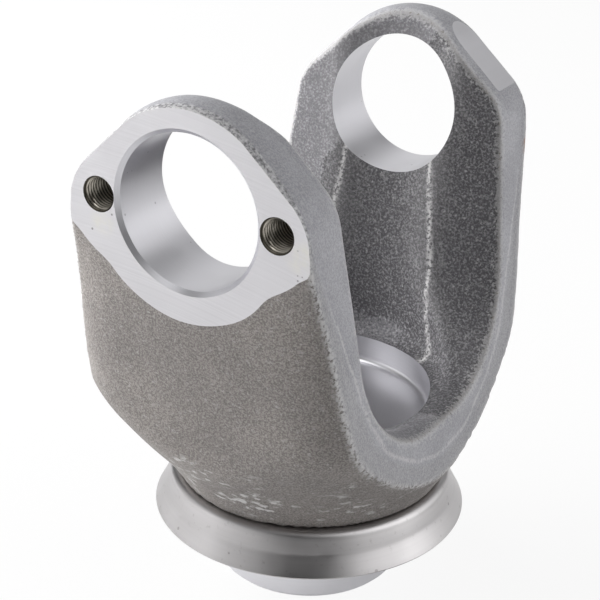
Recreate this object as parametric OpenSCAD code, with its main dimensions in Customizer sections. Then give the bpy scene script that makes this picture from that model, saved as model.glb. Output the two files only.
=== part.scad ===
// Forged end yoke for a heavy bearing-plate cross joint, with its pressed-on dust deflector.
// It stands on its hub end: the hub axis is Z, the cross bores lie along Y, and the throat
// between the ears is open towards +X and -X. Heights are measured from the hub's end face.

/* [Cross bores] */
// Diameter of the bearing cup bores
bore_d = 49.2; // [44:0.1:52]
// Height of the bore axis above the hub's end face
bore_height = 158; // [150:0.5:170]
// Distance over the two machined ear faces
face_span = 154.8; // [150:0.2:164]
// Lead-in chamfer at the mouth of each bore
bore_chamfer = 1.4; // [0.5:0.1:2]

/* [Ears] */
// Machined ring left between bore and ear top
ear_ring = 7.6; // [6:0.1:10]
// Height of the forged crown across an ear's top
ear_crown = 1.5; // [0.8:0.1:2]
// Depth of the crown's highest line behind the machined face
crown_depth = 7.6; // [5:0.1:9]
// Slope of the straight flats beside the ear top, in degrees
flat_angle = 43; // [38:1:50]
// Half width of an ear at the height of the bore
ear_half_width = 42; // [40:0.5:46]
// Radius of the corner between flat and side
ear_corner_r = 4.5; // [2:0.5:8]
// Draft of the side faces, in degrees
side_draft = 7; // [4:0.5:9]
// Width of the machined band below the bore
pad_ring = 10.4; // [8:0.2:13]
// Slope of the rough outer face away from the pad, in degrees
face_draft = 9; // [5:0.5:12]

/* [Bearing plate screws] */
// Distance between the two tapped holes of an ear
screw_spacing = 63.4; // [61:0.2:67]
// Core diameter of the tapped holes
screw_core_d = 9.9; // [7:0.1:10.5]
// Diameter of the countersink at the face
countersink_d = 11.6; // [10.8:0.1:13]
// Full depth of the tapped holes
screw_depth = 16; // [10:0.5:17]
// Radius of forged metal round a tapped hole
lug_r = 15.6; // [13:0.2:17]

/* [Throat] */
// Height of the throat's floor
throat_floor = 70; // [67:0.2:74]
// Radius of the trough between the ears
throat_r = 43.3; // [40:0.1:46]
// Draft of the inner faces, in degrees
land_draft = 7.4; // [5:0.2:9]
// Splay of the inner faces towards the sides, in degrees
land_splay = 9; // [5:0.5:11]

/* [Socket clearance] */
// Radius of the round channel just above the nut seat
channel_low_r = 49; // [48.8:0.1:51]
// Radius of the channel under the bore
channel_mid_r = 53.4; // [51.5:0.1:55]
// Radius of the channel at the ear tops
channel_top_r = 63; // [58:0.5:66]
// Radius of the forged corner at the foot of the channel
channel_foot_r = 6.4; // [3:0.2:8]
// Depth of the channel's floor below the throat's floor
channel_sink = 0.6; // [0.3:0.1:1.5]

/* [Nut seat] */
// Diameter of the turned recess for the nut
seat_d = 84.4; // [78:0.2:88]
// Height of the nut seat above the hub's end face
seat_height = 59.8; // [56:0.2:63]
// Corner radius between seat and wall
seat_corner_r = 2.2; // [0.5:0.1:3]

/* [Spline] */
// Number of splines
spline_count = 10; // [6:1:16]
// Major diameter of the spline
spline_major_d = 41.3; // [36:0.1:44]
// Minor diameter of the spline
spline_minor_d = 35.1; // [31:0.1:36]
// Width of one groove
spline_groove_w = 6.4; // [4:0.1:7]
// Chamfer at both ends of the splined hole
spline_chamfer = 1; // [0.4:0.1:1.5]

/* [Hub] */
// Radius of the forged hub at its lower edge
neck_r = 48.4; // [46:0.1:50]
// Height of the forged body's lower face
neck_height = 38.4; // [36:0.1:40]
// Edge break round that lower face
neck_chamfer = 1.8; // [1:0.1:2.5]
// Diameter of the turned seal journal
journal_d = 66.2; // [62:0.1:70]
// Diameter of the register that carries the deflector
register_d = 78; // [74:0.2:84]
// Length of the register below the forged body
register_h = 17; // [13:0.5:20]
// Chamfer at the hub's end
end_chamfer = 1.5; // [0.5:0.1:3]

/* [Dust deflector] */
// Thickness of the deflector's sheet
sheet = 1.8; // [1.2:0.1:2.5]
// Outer radius of its flat flange
flange_r = 50; // [49:0.1:52]
// Radius at its soft mid bend
bend_r = 52.7; // [52.2:0.1:54]
// Radius of its rim
rim_r = 56.3; // [55:0.1:60]
// Height of its rim above the hub's end face
rim_height = 24; // [22:0.1:27]
// Height of its mid bend above the rim
bend_rise = 6.6; // [4:0.1:8]
// Length of the collar that grips the register
collar_h = 11; // [8:0.5:14]

/* [Hidden] */
$fn = 96;
over = 1;
face_y = face_span / 2;
bore_r = bore_d / 2;
ear_top_r = bore_r + ear_ring;
pad_r = bore_r + pad_ring;
side_slope = tan(side_draft);
flat_normal = 90 - flat_angle;
// The flats lie this much inside the round top
flat_inset = 0.05;
// The crown starts this much inside the outline and behind the face
crown_inset = 0.2;
lug_slope = 14;
lug_depth = 8;
drill_half_angle = 59;
// The drafted inner faces lie this much inside the trough's arc where they leave it
land_inset = 0.1;
// The troughs start this far from the hub axis, and the floor between a pair lies this much higher
throat_start = 20;
floor_lift = 0.3;
// That floor reaches out to this many half widths of an ear
floor_reach = 1.3;
// The turned part of the hub runs up into the forged body by this much
hub_overlap = 12;
// Radius and height of the corners of the forged body's round envelope, above the lower face
waist = [neck_r + 6, neck_height + 12];
shoulder = [77.5, neck_height + 40.5];
brow = [84, neck_height + 84.6];
crown = [92, bore_height + 5];
envelope_top = bore_height + ear_top_r + ear_crown + over;
shoulder_round = 14;
shoulder_steps = 5;
forging_colour = "#86817c";
deflector_colour = "#b9b6b8";

// A point from radius and angle
function polar(r, a) = [r * cos(a), r * sin(a)];

// Points along an arc
function arc(centre, r, from, to, steps) =
    [for (i = [0:steps]) centre + polar(r, from + (to - from) * i / steps)];

// Where the line at distance d1 with normal angle a1 meets the one at d2 with a2
function meet(d1, a1, d2, a2) =
    let (det = cos(a1) * sin(a2) - sin(a1) * cos(a2))
    [(d1 * sin(a2) - d2 * sin(a1)) / det, (d2 * cos(a1) - d1 * cos(a2)) / det];

// A rounded corner at b between a and c: points of the arc that touches both sides
function rounded(a, b, c, r, steps) =
    let (
        u = (a - b) / norm(a - b),
        v = (c - b) / norm(c - b),
        half = acos(u * v) / 2,
        middle = (u + v) / norm(u + v),
        centre = b + middle * r / sin(half),
        t1 = b + u * r / tan(half) - centre,
        t2 = b + v * r / tan(half) - centre,
        a1 = atan2(t1[1], t1[0]),
        turn = atan2(t1[0] * t2[1] - t1[1] * t2[0], t1 * t2)
    )
    arc(centre, r, a1, a1 + turn, steps);

// Turns a flat outline of X and Z into a solid along Y, centred on Y = 0
module across(width) {
    rotate([90, 0, 0])
        linear_extrude(width, center = true)
            children();
}

// Turns a solid made round Z so that it lies round the bore axis
module on_bore_axis() {
    translate([0, 0, bore_height])
        rotate([90, 0, 0])
            children();
}

// Outline of the ears seen along the bore axis: round top, two flats, rounded corners, drafted
// sides. The top and the flats lie further out by rise.
module ear_outline(rise = 0) {
    flat_d = ear_top_r + rise - flat_inset;
    corner = meet(flat_d, flat_normal, ear_half_width * cos(side_draft), side_draft);
    foot = neck_height - bore_height;
    foot_corner = [ear_half_width - foot * side_slope, foot];
    top_end = polar(flat_d, flat_normal);
    right_side = concat([top_end], rounded(top_end, corner, foot_corner, ear_corner_r, 4), [foot_corner]);
    left_side = [for (i = [len(right_side) - 1:-1:0]) [-right_side[i][0], right_side[i][1]]];
    circle(r = ear_top_r + rise);
    polygon(concat(right_side, left_side));
}

// Crown over an ear's top: from the machined face it rises to a line and falls again. It is round
// over the bore and straight along the two flats.
module crown_band() {
    low = ear_top_r - crown_inset;
    start = crown_inset - face_y;
    section = [
        [bore_r + over, start], [low, start], [ear_top_r + ear_crown, crown_depth - face_y],
        [low, 2 * crown_depth - face_y], [bore_r + over, 2 * crown_depth - face_y]
    ];
    on_bore_axis()
        rotate_extrude()
            polygon(section);
    for (sx = [0, 1])
        mirror([sx, 0, 0])
            translate([0, 0, bore_height])
                rotate([0, -flat_normal, 0])
                    translate([-flat_inset, 0, -ear_half_width])
                        linear_extrude(ear_half_width)
                            polygon([for (p = section) [p[0], -p[1]]]);
}

// The ears' upper ends, from the outline and the crowns of both ears
module ear_body() {
    translate([0, 0, bore_height])
        across(2 * face_y + 2 * over)
            ear_outline();
    for (side = [0, 1])
        mirror([0, side, 0])
            intersection() {
                translate([0, 0, bore_height])
                    across(2 * face_y)
                        ear_outline(ear_crown + over);
                crown_band();
            }
}

// Round envelope of the forged body about the hub axis
module round_envelope() {
    rotate_extrude()
        polygon(concat(
            [[0, neck_height], [neck_r - neck_chamfer, neck_height]],
            [[neck_r, neck_height + neck_chamfer], waist],
            rounded(waist, shoulder, brow, shoulder_round, shoulder_steps),
            [brow, crown, [crown[0], envelope_top], [0, envelope_top]]
        ));
}

// Outer faces: flat machined pads round each bore, and rough faces that fall away from them
module face_envelope() {
    reach = bore_height + ear_crown + over;
    fall = (reach - pad_r) * tan(face_draft);
    on_bore_axis()
        rotate_extrude()
            polygon([
                [0, -face_y], [pad_r, -face_y], [reach, fall - face_y],
                [reach, face_y - fall], [pad_r, face_y], [0, face_y]
            ]);
    for (s = [1, -1], side = [1, -1])
        translate([s * screw_spacing / 2, side * face_y, bore_height])
            rotate([side * 90, 0, 0])
                cylinder(h = lug_depth, r1 = lug_r, r2 = lug_r + lug_depth / tan(lug_slope));
}

// The trough between the ears: two troughs to each side, splayed outwards about the hub axis.
// They start inside the round channel, and a nearly flat floor joins each pair in the middle.
module throat() {
    top = bore_height + ear_top_r + 3 * over;
    centre = [0, throat_floor + throat_r];
    // the inner face leans out by its draft from where it leaves the trough's arc
    leave = centre + polar(throat_r - land_inset, -land_draft);
    lean = (top - leave[1]) * tan(land_draft);
    middle = floor_reach * ear_half_width * tan(land_splay);
    for (sx = [0, 1], sy = [0, 1])
        mirror([sx, 0, 0])
            mirror([0, sy, 0])
                rotate([90, 0, 90 + land_splay])
                    translate([0, 0, throat_start])
                        linear_extrude(2 * ear_half_width) {
                            translate(centre)
                                circle(r = throat_r);
                            translate([-middle, throat_floor + floor_lift])
                                square([middle, throat_r]);
                            polygon([
                                [-throat_r + over, centre[1]], centre, leave,
                                [leave[0] + lean, top], [-throat_r + over, top]
                            ]);
                        }
}

// Everything turned or forged hollow about the hub axis, as one profile: the splined hole's
// minor diameter with its chamfers, the nut seat, and the channel that lets a socket reach it
module axial_hollow() {
    top = bore_height + ear_top_r + over;
    minor_r = spline_minor_d / 2;
    mouth_r = spline_major_d / 2 + spline_chamfer;
    mouth_h = mouth_r - minor_r;
    seat_r = seat_d / 2;
    floor_z = throat_floor - channel_sink;
    seat_corner = [seat_r - seat_corner_r, seat_height + seat_corner_r];
    foot = [channel_low_r - channel_foot_r, floor_z + channel_foot_r];
    rotate_extrude()
        polygon(concat(
            [[0, -over], [mouth_r + over, -over], [minor_r, mouth_h]],
            [[minor_r, seat_height - mouth_h], [mouth_r, seat_height]],
            arc(seat_corner, seat_corner_r, -90, 0, 4),
            [[seat_r, floor_z]],
            arc(foot, channel_foot_r, -90, 0, 4),
            [[channel_mid_r, bore_height - bore_r], [channel_top_r, top], [0, top]]
        ));
}

// Grooves of the spline, cut out to the major diameter
module spline_grooves() {
    intersection() {
        translate([0, 0, -over])
            cylinder(h = seat_height + 2 * over, d = spline_major_d);
        for (i = [0:spline_count - 1])
            rotate(i * 360 / spline_count)
                translate([0, -spline_groove_w / 2, -2 * over])
                    cube([spline_major_d, spline_groove_w, seat_height + 4 * over]);
    }
}

// One cross bore through both ears, chamfered at the two outer faces
module cross_bore() {
    on_bore_axis() {
        cylinder(h = face_span + 2 * over, r = bore_r, center = true);
        for (s = [0, 180])
            rotate([s, 0, 0])
                translate([0, 0, face_y - bore_chamfer])
                    cylinder(h = bore_chamfer + over, r1 = bore_r, r2 = bore_r + bore_chamfer + over);
    }
}

// Blind tapped hole with countersink and drill point, drilled along -Z from its mouth
module tapped_hole() {
    core_r = screw_core_d / 2;
    sink = countersink_d / 2 - core_r;
    point = core_r / tan(drill_half_angle);
    rotate_extrude()
        polygon([
            [0, -screw_depth - point], [core_r, -screw_depth], [core_r, -sink],
            [core_r + sink + over, over], [0, over]
        ]);
}

// Four tapped holes, two beside each bore
module tapped_holes() {
    for (s = [1, -1], side = [1, -1])
        translate([s * screw_spacing / 2, side * face_y, bore_height])
            rotate([-side * 90, 0, 0])
                tapped_hole();
}

// Turned lower end of the hub: seal journal, deflector register and end chamfer
module hub_end() {
    journal_r = journal_d / 2;
    step = neck_height - register_h;
    rotate_extrude()
        polygon([
            [0, 0], [journal_r - end_chamfer, 0], [journal_r, end_chamfer], [journal_r, step - over],
            [register_d / 2 - over, step - over], [register_d / 2, step],
            [register_d / 2, neck_height + hub_overlap], [0, neck_height + hub_overlap]
        ]);
}

// The forging with all its machining
module yoke() {
    color(forging_colour)
        difference() {
            union() {
                intersection() {
                    ear_body();
                    round_envelope();
                    face_envelope();
                }
                hub_end();
            }
            axial_hollow();
            throat();
            spline_grooves();
            cross_bore();
            tapped_holes();
        }
}

// Pressed sheet ring: a collar on the register, a flat flange under the body, and a flared skirt
module dust_deflector() {
    grip_r = register_d / 2;
    top = neck_height;
    turn_r = 3;
    bend = [bend_r, rim_height + bend_rise];
    rim = [rim_r, rim_height];
    along = (rim - bend) / norm(rim - bend);
    inward = [along[1], -along[0]] * sheet;
    inner_flange = [flange_r - sheet, top - sheet];
    color(deflector_colour)
        rotate_extrude()
            polygon(concat(
                [[grip_r, top - collar_h], [grip_r, top]],
                rounded([grip_r, top], [flange_r, top], bend, turn_r, 4),
                [bend, rim, rim + inward, bend + inward],
                rounded(bend + inward, inner_flange, [grip_r + sheet, top - sheet], turn_r - sheet, 3),
                [[grip_r + sheet, top - sheet], [grip_r + sheet, top - collar_h]]
            ));
}

yoke();
dust_deflector();
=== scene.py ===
# %% [markdown]
# # A forged end yoke, dressed in Blender
# The solids come from the CAD step and stay where they are. This file gives them their looks: the
# soft, sand-grained skin of the forging, the bright machined faces cut into it, and the satin
# sheet of the dust deflector. Everything is in the CAD's own frame, with the hub axis along Z and
# the cross bores along Y. Shapes are worked out in millimetres and scaled to metres at the end.

import math

import bmesh
import bpy
import numpy as np
from mathutils import Matrix, Vector


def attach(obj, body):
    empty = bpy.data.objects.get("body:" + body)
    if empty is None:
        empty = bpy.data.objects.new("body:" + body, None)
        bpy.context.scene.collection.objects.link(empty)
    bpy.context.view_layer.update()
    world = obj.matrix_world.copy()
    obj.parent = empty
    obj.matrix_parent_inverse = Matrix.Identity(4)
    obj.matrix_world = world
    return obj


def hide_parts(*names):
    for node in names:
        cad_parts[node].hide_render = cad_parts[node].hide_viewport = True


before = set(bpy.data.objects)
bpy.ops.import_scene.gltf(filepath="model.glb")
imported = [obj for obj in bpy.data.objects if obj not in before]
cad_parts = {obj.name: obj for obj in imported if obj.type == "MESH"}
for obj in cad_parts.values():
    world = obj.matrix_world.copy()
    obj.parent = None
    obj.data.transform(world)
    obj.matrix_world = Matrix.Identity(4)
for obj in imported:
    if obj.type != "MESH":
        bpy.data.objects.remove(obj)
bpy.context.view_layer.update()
MM = 0.001
print("CAD nodes:", sorted(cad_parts))

# %% [markdown]
# ## Blending two surfaces
# A forging has no sharp edges, because metal has to flow round them in the die. A field is a
# number at every point: below zero in the metal, zero on its surface and above zero outside. Two
# fields can be joined so that their common edge is rounded. One function gives a true radius,
# which suits edges near a right angle. The other gives a slow blend for faces that meet flatly.

# %% Two ways to round an edge
def round_edge(a, b, radius):
    """Metal inside both a and b, with their edge rounded: within one radius of both surfaces the
    field is the distance from a circle of that radius, elsewhere it is the larger of the two."""
    inner = np.minimum(np.maximum(a, b), -radius)
    return inner + np.hypot(np.maximum(a + radius, 0), np.maximum(b + radius, 0))


def slow_blend(a, b, width):
    """The larger of a and b plus a quarter of a parabola where they differ by less than width."""
    near = np.maximum(width - np.abs(a - b), 0) / width
    return np.maximum(a, b) + near * near * width / 4


# %% [markdown]
# ## The outside of the forging
# The ears' outer faces fall away from the pad round each bore, and a lobe swells round every
# tapped hole. Lower down the body is round about the hub axis and tapers into the hub. The side
# faces have the die's draft, so the part widens downwards, and a low ragged ridge along their
# outer edge is what is left of the trimmed flash. The slants are factors just below 1, which turn a
# distance measured straight across into the shortest one to a slanted face.

# %% Sizes of the outside, in millimetres
BORE_Z, BORE_R, FACE_Y = 158.0, 24.6, 77.4
TOP_R, PAD_R = 32.2, 35.1
SCREW_X, LOBE_R = 31.7, 15.7
PAD_FALL, LOBE_FALL = math.tan(math.radians(9)), math.tan(math.radians(16))
LOBE_BLEND, BODY_BLEND = 2.2, 3.5
PAD_SLANT, BODY_SLANT, SIDE_SLANT, CHANNEL_SLANT = 0.97, 0.95, 0.993, 0.99
FLAT_TURN = math.radians(47)
SIDE_X, SIDE_DRAFT, SIDE_CORNER = 41.9, 0.119, 4.5
CROWN, CROWN_Y, CROWN_HALF = 1.4, 69.8, 7.6
FLASH, FLASH_BACK, FLASH_WIDTH = 0.5, 2.4, 1.3
BURR, BURR_X, BURR_WIDTH, BURR_LOW, BURR_RISE = 0.8, 38, 4, -22, 8
HUB_TOP = 38.4
BODY_Z = [30.0, 38.4, 40.2, 44.0, 50.5, 57.0, 63.5, 70.0, 76.0, 83.0, 98.0, 123.0, 146.0, 200.0]
BODY_R = [46.6, 46.8, 48.6, 50.8, 54.9, 60.5, 66.0, 71.0, 75.6, 79.0, 81.6, 84.1, 88.6, 99.4]


def rise(values, start, width):
    """0 up to start, 1 from start plus width on, and a straight line between."""
    return np.clip((values - start) / width, 0, 1)


def body_radius(z):
    """Radius of the round body at height z: the mean of the straight-line table over plus and
    minus 3 mm, which turns its corners into soft bends."""
    return sum(np.interp(z + step, BODY_Z, BODY_R) for step in (-3, -1.5, 0, 1.5, 3)) / 5


def outer_face(x, y, z):
    """Rough outer faces: a cone about the bore axis that falls 9 degrees, swollen by a 16 degree
    cone about each tapped hole, raised a little towards the side faces beside the pad, and
    blended into the round body."""
    cone = PAD_FALL * (PAD_R - np.hypot(x, z - BORE_Z))
    lobe = LOBE_FALL * (LOBE_R - np.hypot(np.abs(x) - SCREW_X, z - BORE_Z))
    burr = BURR * rise(np.abs(x), BURR_X, BURR_WIDTH) ** 2 * rise(z - BORE_Z, BURR_LOW, BURR_RISE)
    pad = (np.abs(y) - FACE_Y - slow_blend(cone, lobe, LOBE_BLEND) - burr) * PAD_SLANT
    body = (np.hypot(x, y) - body_radius(z)) * BODY_SLANT
    return slow_blend(pad, body, BODY_BLEND)


def ear_rim(x, y, z):
    """Outline of an ear along its bore: an arc about the bore between two flats that touch it,
    raised by a slight crown across the ear's thickness, and drafted sides below rounded corners."""
    up = z - BORE_Z
    crown = CROWN * np.clip(1 - ((np.abs(y) - CROWN_Y) / CROWN_HALF) ** 2, 0, 1)
    flat = np.abs(x) * math.cos(FLAT_TURN) + up * math.sin(FLAT_TURN)
    arc = np.hypot(x, up)
    on_flat = up < np.abs(x) * math.tan(FLAT_TURN)
    top = np.where(on_flat, flat, arc) - TOP_R - crown
    outer = outer_face(x, y, z)
    ragged = 0.75 + 0.25 * np.sin(z * 0.9 + y * 0.5) * np.sin(z * 0.37 - y * 0.8)
    flash = FLASH * ragged * np.exp(-(((outer + FLASH_BACK) / FLASH_WIDTH) ** 2))
    side = (np.abs(x) - SIDE_X - SIDE_DRAFT * (BORE_Z - z)) * SIDE_SLANT - flash
    return round_edge(top, side, SIDE_CORNER)


print("body radius at the hub top and at the bore:", body_radius(HUB_TOP), body_radius(BORE_Z))

# %% [markdown]
# ## The throat
# Between the ears the die leaves a round trough whose sides splay outwards, and a round channel
# about the hub axis lets a socket reach the nut. Where the two meet, a soft ridge runs up each
# ear. The throat is a hollow, so its field is turned round when it is cut from the outside.

# %% Fields of the trough and the channel
TROUGH_R, TROUGH_Z = 43.3, 113.3
DRAFT, SPLAY = math.radians(7.4), math.radians(9)
CHANNEL_FLOOR, CHANNEL_FOOT = 69.8, 6.4
CHANNEL_R, CHANNEL_Z, CHANNEL_CHORD_Z = 48.3, 76, 135
CHANNEL_LEAN, CHANNEL_BEND = 0.0864, 0.000825


def trough(x, y, z):
    """Trough between the ears: distance across a plane splayed 9 degrees about the hub axis, as a
    circle below and a drafted plane that touches it above."""
    across = np.abs(y) * math.cos(SPLAY) - np.abs(x) * math.sin(SPLAY)
    across = np.maximum(across, 0)
    up = z - TROUGH_Z
    wall = across * math.cos(DRAFT) - up * math.sin(DRAFT)
    return np.where(up > -across * math.tan(DRAFT), wall, np.hypot(across, up)) - TROUGH_R


def channel(x, y, z):
    """Socket channel, down to a floor with a rounded corner. The wall's radius grows as a parabola
    with height: a line of slope CHANNEL_LEAN that it crosses at two heights, plus the bend."""
    up = z - CHANNEL_Z
    radius = CHANNEL_R + CHANNEL_LEAN * up + CHANNEL_BEND * up * (z - CHANNEL_CHORD_Z)
    return round_edge((np.hypot(x, y) - radius) * CHANNEL_SLANT, CHANNEL_FLOOR - z, CHANNEL_FOOT)


# %% Field of the whole forging
OUTER_EDGE, RIDGE_EDGE, THROAT_EDGE, HUB_EDGE, UNEVEN = 0.5, 2.2, 2.8, 0.6, 0.1


def throat(x, y, z):
    """Metal outside both hollows, with a soft ridge where they meet."""
    return round_edge(-trough(x, y, z), -channel(x, y, z), RIDGE_EDGE)


def forging(x, y, z):
    """Field of the whole forging before machining, with the die's slight unevenness."""
    solid = round_edge(outer_face(x, y, z), ear_rim(x, y, z), OUTER_EDGE)
    solid = round_edge(solid, throat(x, y, z), THROAT_EDGE)
    uneven = UNEVEN * np.sin(x / 7 + z / 23) * np.sin(y / 9 - z / 11 + 1)
    return round_edge(solid, HUB_TOP - z, HUB_EDGE) + uneven


print("field at the middle of the nut seat's floor:", round(float(forging(30.0, 0.0, 60.0)), 2))


# %% [markdown]
# ## From a field to a mesh
# Marching cubes would turn the field into a mesh, but its facets ignore the part's form. A bent bar
# is better described by two numbers: how far along the U, and how far round its section. From
# a spine inside the metal a ray goes out for each pair of numbers until it leaves the metal.

# %% Rays that find the skin
COARSE_STEPS, HALVINGS = 40, 18


def skin(start, way, reach=75.0):
    """Points where rays leave the metal: coarse steps find the first point outside, then halving
    the last step closes in on the surface. start and way are arrays of x, y and z."""
    low = np.zeros(start.shape[:-1])
    high = np.full(start.shape[:-1], reach)
    found = np.zeros(low.shape, bool)
    for t in np.linspace(0, reach, COARSE_STEPS)[1:]:
        inside = forging(*np.moveaxis(start + way * t, -1, 0)) < 0
        high = np.where(~inside & ~found, t, high)
        found |= ~inside
        low = np.where(inside & ~found, t, low)
    for _ in range(HALVINGS):
        half = (low + high) / 2
        inside = forging(*np.moveaxis(start + way * half[..., None], -1, 0)) < 0
        low, high = np.where(inside, half, low), np.where(inside, high, half)
    return start + way * ((low + high) / 2)[..., None]


def spread(weight, count, low, high):
    """count values from low to high, closer together where weight is large."""
    t = np.linspace(low, high, 2001)
    total = np.cumsum(weight(t))
    return np.interp(np.linspace(total[0], total[-1], count), total, t)


def crowd(turn, at, width, extra):
    """A weight of 1, and extra more near the turns that lie at from zero on either side."""
    return 1 + extra * np.exp(-(((np.abs(turn) - at) / width) ** 2))


# %% [markdown]
# ## The section and its spine
# A section is about 100 mm wide and 30 mm thick. Rays from a single centre would crowd its middle,
# so they start from a short line, the spine, and fan out only at its two ends. The spine lies in
# the middle of the metal that is common to its centre and its ends.

# %% Half section: inner side, rounded end, outer side
LONG, FAN = 27, 49
QUARTER = math.pi / 2
fan_turn = spread(lambda t: crowd(t, 0.87, 0.2, 1.6), FAN, -QUARTER, QUARTER)
half_along = np.concatenate([np.linspace(0, 1, LONG)[:-1], np.ones(FAN), np.linspace(1, 0, LONG)[1:]])
half_turn = np.concatenate([np.full(LONG - 1, -QUARTER), fan_turn, np.full(LONG - 1, QUARTER)])
HALF = len(half_along)
print("points round half a section:", HALF)


def half_sections(foot, out, side, spine):
    """Skin points of many half sections: foot is a point on the U's inside, out and side are unit
    directions across and along the section, and spine is the spine's length. The spine's depth is
    the mean of the depths at which its centre, middle and end all lie at least 1 mm deep."""
    depth = np.linspace(2, 60, 117)
    metal = np.ones((len(foot), len(depth)), bool)
    for share in (0, 0.5, 1):
        p = (foot + side * (spine * share)[:, None])[:, None] + out[:, None] * depth[:, None]
        metal &= forging(*np.moveaxis(p, -1, 0)) < -1.0
    middle = (metal * depth).sum(1) / metal.sum(1)
    on_spine = side[:, None] * (half_along * spine[:, None])[..., None]
    start = (foot + out * middle[:, None])[:, None] + on_spine
    way = side[:, None] * np.cos(half_turn)[:, None] + out[:, None] * np.sin(half_turn)[:, None]
    return skin(start, way)


# %% Stations along the U, from the front ear to the rear ear
EAR_STEPS, BEND_STEPS, CAP_STEPS = 36, 160, 90
INNER_R, FAN_ROOM, CAP_ROOM = 38.0, 12, 11.9
BEND_HALF, BEND_MORE = 32, 4
ear_z = np.linspace(BORE_Z, TROUGH_Z, EAR_STEPS)
turn = np.linspace(-QUARTER, QUARTER, BEND_STEPS)[1:-1]
foot_y = np.concatenate([np.full(EAR_STEPS, -INNER_R), INNER_R * np.sin(turn), np.full(EAR_STEPS, INNER_R)])
foot_z = np.concatenate([ear_z, TROUGH_Z - INNER_R * np.cos(turn), ear_z[::-1]])
out_y = np.concatenate([np.full(EAR_STEPS, -1.0), np.sin(turn), np.ones(EAR_STEPS)])
out_z = np.concatenate([np.zeros(EAR_STEPS), -np.cos(turn), np.zeros(EAR_STEPS)])
zero = np.zeros_like(foot_y)
foot = np.stack([zero, foot_y, foot_z], 1)
out = np.stack([zero, out_y, out_z], 1)
half_width = SIDE_X + SIDE_DRAFT * (BORE_Z - np.maximum(foot_z, 60)) - FAN_ROOM
round_u = np.arctan2(foot_y, TROUGH_Z - foot_z)
half_width = np.minimum(half_width, BEND_HALF + BEND_MORE * np.abs(np.sin(round_u)))
east = np.stack([zero + 1, zero, zero], 1)
right = half_sections(foot, out, east, half_width)
left = half_sections(foot, out, -east, half_width)
print("U sections:", right.shape)

# %% Caps over the ears: half sections swept about the bore axis
def cap(sign):
    """Half sections of one ear from its right side over the top to its left side. The spine ends
    one CAP_ROOM inside the arc, the flats that touch it, or the side faces."""
    a = spread(lambda t: crowd(t - QUARTER, 1.4, 0.12, 1.2), CAP_STEPS, 0, math.pi)
    tilt, touch = np.abs(a - QUARTER), QUARTER - FLAT_TURN
    flat = TOP_R / np.cos(np.clip(np.abs(tilt - touch), 0, 1))
    edge = np.where(tilt > touch, np.minimum(flat, SIDE_X), TOP_R)
    side = np.stack([np.cos(a), 0 * a, np.sin(a)], 1)
    start = np.stack([0 * a, 0 * a + sign * INNER_R, 0 * a + BORE_Z], 1)
    out = np.stack([0 * a, 0 * a + sign, 0 * a], 1)
    return half_sections(start, out, side, edge - CAP_ROOM)


front_cap, rear_cap = cap(-1), cap(1)
print("cap:", front_cap.shape, "highest point", front_cap[..., 2].max())

# %% Rings of quads along the U
stations = len(right)
ring = 2 * HALF - 2
loops = np.concatenate([right, left[:, -2:0:-1]], 1)
points = [loops.reshape(-1, 3)]
grid = np.arange(stations)[:, None] * ring + np.arange(ring)[None]
nxt = np.roll(grid, -1, 1)
quads = [np.stack([grid[:-1], nxt[:-1], nxt[1:], grid[1:]], -1).reshape(-1, 4)]
print("quads along the U:", len(quads[0]))

# %% Caps joined to the first and last ring
tris = []
base = stations * ring
for points_of_cap, station in ((front_cap, 0), (rear_cap, stations - 1)):
    inner = points_of_cap[1:-1, 1:-1]
    index = np.zeros((CAP_STEPS, HALF), int)
    index[1:-1, 1:-1] = base + np.arange(inner.shape[0] * inner.shape[1]).reshape(inner.shape[:2])
    index[0] = station * ring + np.arange(HALF)
    index[-1] = station * ring + (-np.arange(HALF)) % ring
    index[:, 0] = station * ring
    index[:, -1] = station * ring + HALF - 1
    base += inner.shape[0] * inner.shape[1]
    points.append(inner.reshape(-1, 3))
    body = np.stack([index[:-1, :-1], index[:-1, 1:], index[1:, 1:], index[1:, :-1]], -1)
    if station:
        body = body[..., ::-1]
    quads.append(body[:, 1:-1].reshape(-1, 4))
    for end in (body[:, 0], body[:, -1]):
        tris += [tuple(dict.fromkeys(q)) for q in end.tolist()]
print("triangles at the caps' ends:", len(tris))

# %% One closed mesh
points = np.concatenate(points) * MM
faces = [tuple(q) for q in np.concatenate(quads).tolist()] + tris
mesh = bpy.data.meshes.new("yoke_forging")
mesh.from_pydata(points.tolist(), [], faces)
mesh.validate()
work = bmesh.new()
work.from_mesh(mesh)
bmesh.ops.recalc_face_normals(work, faces=work.faces)
open_edges = sum(not e.is_manifold for e in work.edges)
volume = work.calc_volume()
work.to_mesh(mesh)
work.free()
yoke = bpy.data.objects.new("yoke_forging", mesh)
bpy.context.scene.collection.objects.link(yoke)
print("forging:", len(mesh.polygons), "faces, open edges", open_edges, "volume cm3", volume * 1e6)

# %% [markdown]
# ## Machining
# The forging is then machined the way the factory does it: faces milled, bores cut right through,
# holes drilled and tapped, the nut seat turned. Each tool's path is a closed mesh of its own, and a
# Boolean takes it away. A cut face keeps the material of the tool that made it, which tells
# the finishes apart later. The grinding wheel cuts first, while the skin under it is still whole.

# %% Cutter meshes: turned shapes and boxes
FINISHES = ["forged skin", "milled face", "bored wall", "turned seat", "tapped hole", "ground spot"]
blank = {name: bpy.data.materials.new(name) for name in FINISHES}


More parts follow.
